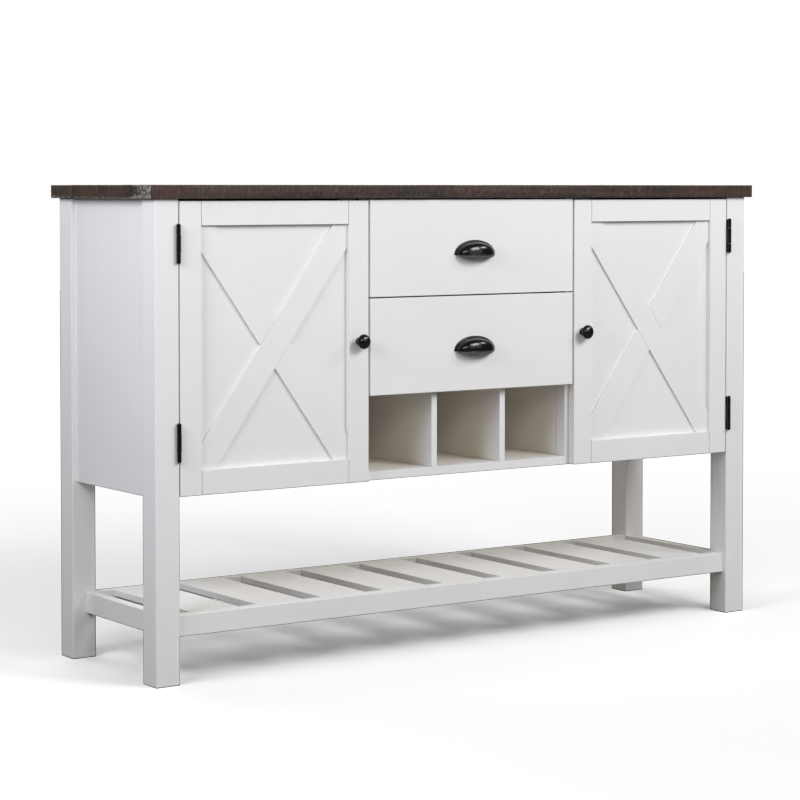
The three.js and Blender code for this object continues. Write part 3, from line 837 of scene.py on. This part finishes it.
def add_tray(name):
    """A drawer's five boards. The floor sits in grooves in the other four."""
    node = f"drawer_{name}_tray"
    body = f"{name}_drawer"
    low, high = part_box(node)
    floor_high = low.z + FLOOR_TOP
    floor_low = floor_high - TRAY_FLOOR
    slack = 0.2 * MM

    def grooved(outer, inner, toward):
        """A board's section across its thickness, with the floor's groove in its inner face."""
        cut = inner - toward * GROOVE
        return [(outer, low.z), (inner, low.z), (inner, floor_low - slack), (cut, floor_low - slack),
                (cut, floor_high), (inner, floor_high), (inner, high.z), (outer, high.z)]

    for side, sign in SIDES:
        outer = high.x if sign > 0 else low.x
        section = grooved(outer, outer - sign * TRAY_WALL, -sign)
        piece = ease(prism(f"{body}_side_{side}", section, "y", low.y, high.y), 0.8 * MM)
        fit(piece, body, DRAWER_WOOD["y"], [node])
    between = (low.x + TRAY_WALL, high.x - TRAY_WALL)
    for part, outer, toward in (("front", low.y, 1), ("back", high.y, -1)):
        section = grooved(outer, outer + toward * TRAY_WALL, toward)
        piece = ease(prism(f"{body}_{part}", section, "x", *between), 0.8 * MM)
        fit(piece, body, DRAWER_WOOD["x"], [node])
    reach = TRAY_WALL - GROOVE + slack
    corner = (low.x + reach, low.y + reach, floor_low)
    floor = board(f"{body}_floor", corner, (high.x - reach, high.y - reach, floor_high))
    fit(ease(floor, 0.3 * MM), body, DRAWER_WOOD["x"], [node])

    heights = (low.z + FRONT_SCREW_UP, high.z - FRONT_SCREW_DOWN)
    heads = [(x, low.y + TRAY_WALL, z) for x in (-FRONT_SCREW_ASIDE, FRONT_SCREW_ASIDE) for z in heights]
    fit(screws(f"{body}_front_screws", PAN_HEAD, heads, "+y"), body, ZINC)


def pull_section(c, s):
    """A pull's section at the angle whose cosine is c and sine is s: (x, out, up, painted reflection), in
    millimetres.
    """
    half, crown, dome_half, dome_crown, reach, sag, flange, fillet, wall, soft = PULL.values()
    section = []

    def at(x, out, up, wear_and_sheen=0.0):
        section.append((x, out, up, wear_and_sheen))

    # The flange, from the wall round its outer edge.
    at(half * c, 0, crown * s)
    at(half * c, flange - soft, crown * s)
    for turn in (30, 60, 90):
        t = math.radians(turn)
        inset = soft * (1 - math.cos(t))
        at((half - inset) * c, flange - soft + soft * math.sin(t), (crown - inset) * s)
    # The fillet up to the dome, then the dome down to its crease.
    for k in range(5):
        t = math.radians(90 * k / 4)
        grow = fillet * s * (1 - math.sin(t))
        at((dome_half + grow) * c, flange + fillet * s * (1 - math.cos(t)), (dome_crown + grow) * s)
    first = math.asin((fillet / reach) ** (1 / FULLNESS))
    for k in range(1, 15):
        t = first + (math.pi / 2 - first) * k / 14
        out, up = math.sin(t) ** FULLNESS, max(0.0, math.cos(t)) ** FULLNESS
        at(dome_half * c, flange + reach * s * out, dome_crown * s * up)
    # The lip: a bead under the dome, the band below it, a round lower edge.
    for turn in (20, 50, 80, 110, 140):
        t = math.radians(turn)
        at(dome_half * c, flange + (reach - 0.1 + soft * math.sin(t)) * s, (-soft + soft * math.cos(t)) * s)
    # The band's points carry a painted reflection: the enamel greys there as if the lip mirrored the floor.
    at(dome_half * c, flange + (reach + 0.2) * s, -2.2 * s, 1.0)
    at(dome_half * c, flange + (reach - 1.3) * s, (-sag + 0.9) * s, 1.0)
    at(dome_half * c, flange + (reach - 1.9) * s, -sag * s, 0.5)
    at(dome_half * c, flange + (reach - 2.8) * s, -sag * s)
    at(dome_half * c, flange + (reach - 3.4) * s, (-sag + 0.8) * s)
    # The inside, back to the wall.
    at((dome_half - wall) * c, flange + (reach - wall - 1.2) * s, -1.0 * s)
    for k in range(10):
        t = (math.pi / 2) * (1 - k / 9)
        up = (dome_crown - wall) * s * math.cos(t)
        at((dome_half - wall) * c, flange + (reach - wall) * s * math.sin(t), up)
    at((dome_half - wall) * c, 0, (dome_crown - wall) * s)
    return section


def add_pull(name):
    """A cup pull, as sections that fan out from the middle of its flange's lower edge, and its screws."""
    node = f"drawer_{name}_pull"
    body = f"{name}_drawer"
    low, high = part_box(node)
    centre = Vector(((low.x + high.x) / 2, high.y, high.z - PULL["crown"] * MM))
    bm = bmesh.new()
    # Each vertex holds how much painted reflection greys the enamel.
    wear_and_sheen = bm.verts.layers.float.new("wear_and_sheen")
    rings = []
    for i in range(PULL_STEPS + 1):
        angle = math.pi * i / PULL_STEPS
        ring = []
        for x, out, up, rub_and_sheen in pull_section(math.cos(angle), math.sin(angle)):
            vert = bm.verts.new(centre + Vector((x, -out, up)) * MM)
            vert[wear_and_sheen] = rub_and_sheen
            ring.append(vert)
        rings.append(ring)
    for here, after in zip(rings, rings[1:]):
        for k in range(len(here)):
            j = (k + 1) % len(here)
            bm.faces.new((here[k], here[j], after[j], after[k]))
    bm.faces.new(rings[0])
    bm.faces.new(rings[-1])
    pull = make_piece(f"{body}_pull", bm, smooth_above=55.0)
    fit(pull, body, ENAMEL, [node])

    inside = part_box(f"drawer_{name}_tray")[0].y + TRAY_WALL
    heads = [(centre.x + sign * PULL_SCREW_ASIDE, inside, centre.z + PULL_SCREW_UP) for _, sign in SIDES]
    fit(screws(f"{body}_pull_screws", PAN_HEAD, heads, "+y"), body, ZINC)


def add_slide_members(name):
    """The slides' inner members, which ride on the drawer, and their screws."""
    body = f"{name}_drawer"
    low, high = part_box(f"drawer_{name}_tray")
    for side, sign in SIDES:
        outer_low, outer_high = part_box(f"drawer_slide_{name}_{side}")
        z = (outer_low.z + outer_high.z) / 2
        bottom, top = z - SLIDE_HALF, z + SLIDE_HALF
        face = high.x if sign > 0 else low.x
        web, lip = face + sign * SLIDE_SHEET, face + sign * SLIDE_DEPTH
        section = [(face, bottom), (lip, bottom), (lip, bottom + SLIDE_SHEET), (web, bottom + SLIDE_SHEET),
                   (web, top - SLIDE_SHEET), (lip, top - SLIDE_SHEET), (lip, top), (face, top)]
        member = ease(prism(f"{body}_slide_{side}", section, "y", low.y, high.y), 0.25 * MM)
        fit(member, body, ZINC)
        places = [(web, low.y + back, z) for back in SLIDE_SCREWS]
        heads = screws(f"{body}_slide_{side}_screws", FLAT_HEAD, places, "+x" if sign > 0 else "-x")
        fit(heads, body, ZINC)


# ---- Camera, light and floor -----------------------------------------------------------------


def add_camera():
    """The photo's camera, as its solve placed it."""
    camera = bpy.data.objects.new("camera", bpy.data.cameras.new("camera"))
    SCENE.collection.objects.link(camera)
    camera.location = (-2.7299, -3.9259, 0.8832)
    camera.rotation_euler = (math.radians(88.0), 0.0, math.radians(-34.64))
    camera.data.lens = 108.67
    camera.data.shift_x = -0.0149
    camera.data.shift_y = -0.1597
    camera.data.clip_start = 0.1
    camera.data.clip_end = 100.0
    SCENE.camera = camera


def area_light(name, direction, distance, size, power, color):
    """A soft rectangular light that looks at the middle of the sideboard from a direction."""
    light = bpy.data.lights.new(name, "AREA")
    light.shape = "RECTANGLE"
    light.size, light.size_y = size
    light.energy = power
    light.color = color
    lamp = bpy.data.objects.new(name, light)
    SCENE.collection.objects.link(lamp)
    middle = (CAD_BOX[0] + CAD_BOX[1]) / 2
    away = Vector(direction).normalized()
    lamp.location = middle + away * distance
    lamp.rotation_euler = (-away).to_track_quat("-Z", "Y").to_euler()
    lamp.visible_camera = False
    return lamp


def add_world():
    """White behind the object, and a dimmer even light all round it."""
    world = bpy.data.worlds.new("studio")
    SCENE.world = world
    world.use_nodes = True
    tree = world.node_tree
    background = tree.nodes["Background"]
    background.inputs["Color"].default_value = (1.0, 0.9, 0.76, 1.0)
    background.inputs["Strength"].default_value = 0.07
    white = tree.nodes.new("ShaderNodeBackground")
    white.inputs["Color"].default_value = (1.0, 1.0, 1.0, 1.0)
    white.inputs["Strength"].default_value = 1.02
    mix = tree.nodes.new("ShaderNodeMixShader")
    path = tree.nodes.new("ShaderNodeLightPath")
    tree.links.new(path.outputs["Is Camera Ray"], mix.inputs[0])
    tree.links.new(background.outputs[0], mix.inputs[1])
    tree.links.new(white.outputs[0], mix.inputs[2])
    tree.links.new(mix.outputs[0], tree.nodes["World Output"].inputs[0])


def add_floor():
    """A floor that shows only the shadow that the sideboard throws on it."""
    bm = bmesh.new()
    bmesh.ops.create_grid(bm, x_segments=1, y_segments=1, size=15.0)
    floor = make_piece("floor", bm)
    shader = Shader("floor", Base_Color=(0.21, 0.2, 0.19, 1.0), Roughness=0.8, Specular_IOR_Level=0.1)
    floor.data.materials.append(shader.material)
    floor.is_shadow_catcher = True


def light_the_studio():
    add_world()
    add_floor()
    area_light("key", (0.33, -1.0, 0.7), 3.0, (1.2, 1.0), 45.5, (0.96, 0.97, 1.0))
    area_light("right_fill", (1.2, -1.0, 1.08), 3.0, (0.8, 0.6), 16.0, (1.0, 0.95, 0.88))
    area_light("low_fill", (0.3, -1.0, 0.35), 3.0, (2.0, 1.2), 7.0, (0.85, 0.91, 1.0))
    area_light("front_fill", (-0.5, -1.0, 0.45), 3.2, (1.4, 0.7), 16.0, (1.0, 0.93, 0.8))
    left_fill = area_light("left_fill", (-1.0, -0.3, 0.47), 2.2, (1.0, 0.7), 22.0, (0.9, 0.92, 1.0))
    left_fill.visible_glossy = False
    area_light("backdrop", (0.1, 1.0, 0.25), 3.5, (6.0, 2.2), 28.0, (1.0, 0.98, 0.9))
    area_light("back_fill", (-0.3, 1.0, 0.6), 3.5, (3.0, 2.2), 37.0, (1.0, 0.97, 0.89))
    SCENE.view_settings.view_transform = "Standard"


# ---- The whole sideboard ---------------------------------------------------------------------

add_camera()
light_the_studio()
paint_carcass()
add_back_screws()
for board_index in range(TOP_BOARDS):
    top_board(board_index)
for side_name, side_sign in SIDES:
    add_partition(side_name, side_sign)
    add_front_leg(side_name, side_sign)
    add_door(side_name, side_sign)
for hinge in HINGES:
    add_hinge(*hinge)
for drawer_name in DRAWERS:
    add_tray(drawer_name)
    add_pull(drawer_name)
    add_slide_members(drawer_name)
